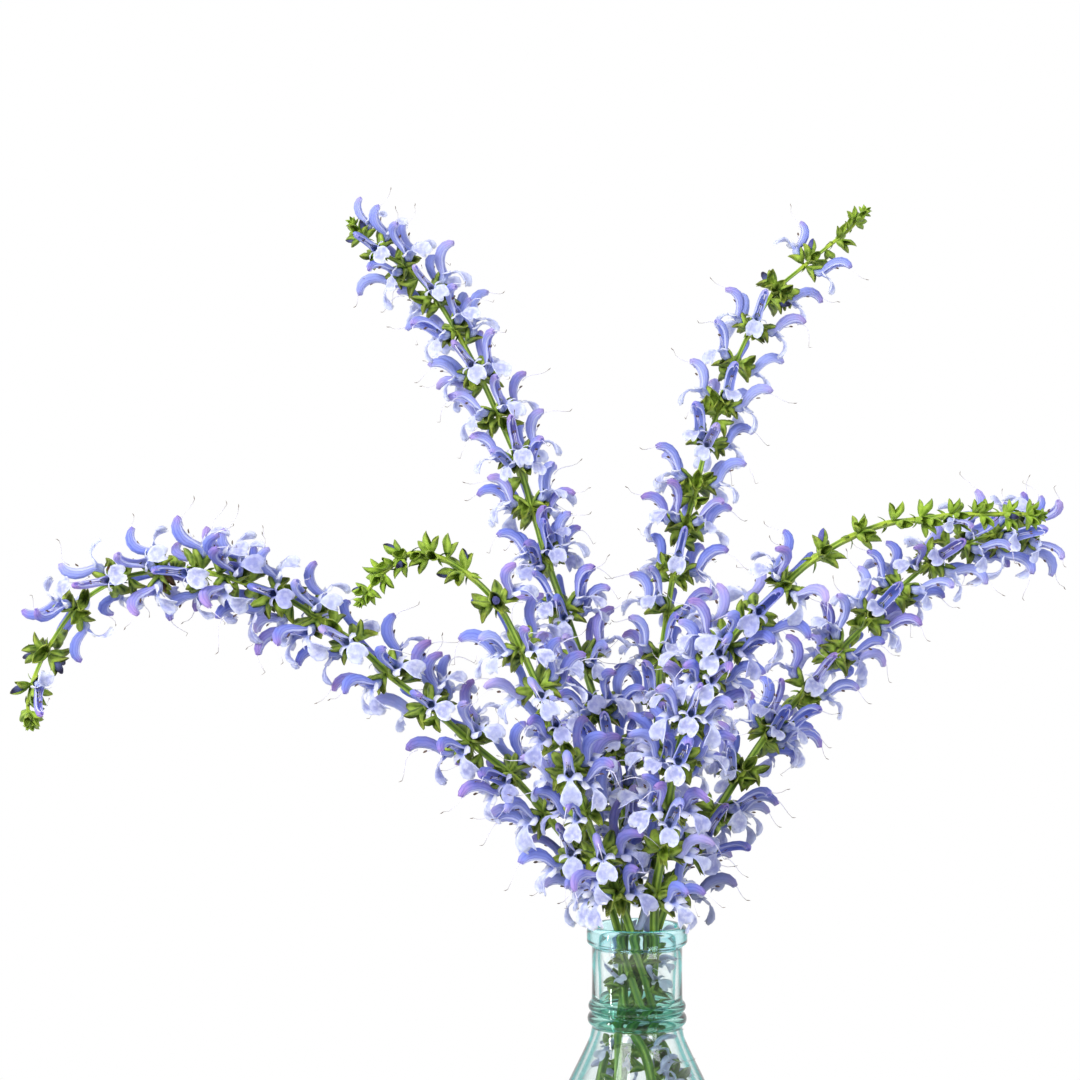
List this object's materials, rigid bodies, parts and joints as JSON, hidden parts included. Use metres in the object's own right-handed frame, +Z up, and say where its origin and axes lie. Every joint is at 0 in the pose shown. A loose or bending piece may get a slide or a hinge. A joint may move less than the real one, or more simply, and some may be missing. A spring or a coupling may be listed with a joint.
{
  "type": "bottle of cut salvia",
  "caption": "Cut meadow sage flower spikes with whorls of two-lipped violet-blue flowers, standing in water in a ring-necked glass bottle.",
  "frame": {"origin": "centre of the bottle's flat base, on the surface that it stands on", "axes": "+Z up out of the bottle's mouth, +X to the viewer's right, +Y away from the viewer, with the long arched spike leaning to -X"},
  "size_m": [0.5637, 0.2224, 0.6251],
  "materials": {
    "glass": "clear pale aqua glass, greener where it is thick, smooth and glossy",
    "water": "clear still water",
    "corollas": "soft matt petals, violet-blue hoods and paler lilac lower lips with fine veins",
    "greenery": "fresh yellow-green stems and darker green ribbed calyxes with a slight sheen",
    "styles": "pale thread-like styles with brownish tips"
  },
  "bodies": {
    "root": {"bottle": "glass", "water": "water", "spike_left_arch": "corollas", "spike_back_left": "corollas", "spike_front_left": "corollas", "spike_back_right": "corollas", "spike_front_right": "corollas", "spike_right_low": "corollas"}
  },
  "joints": []
}
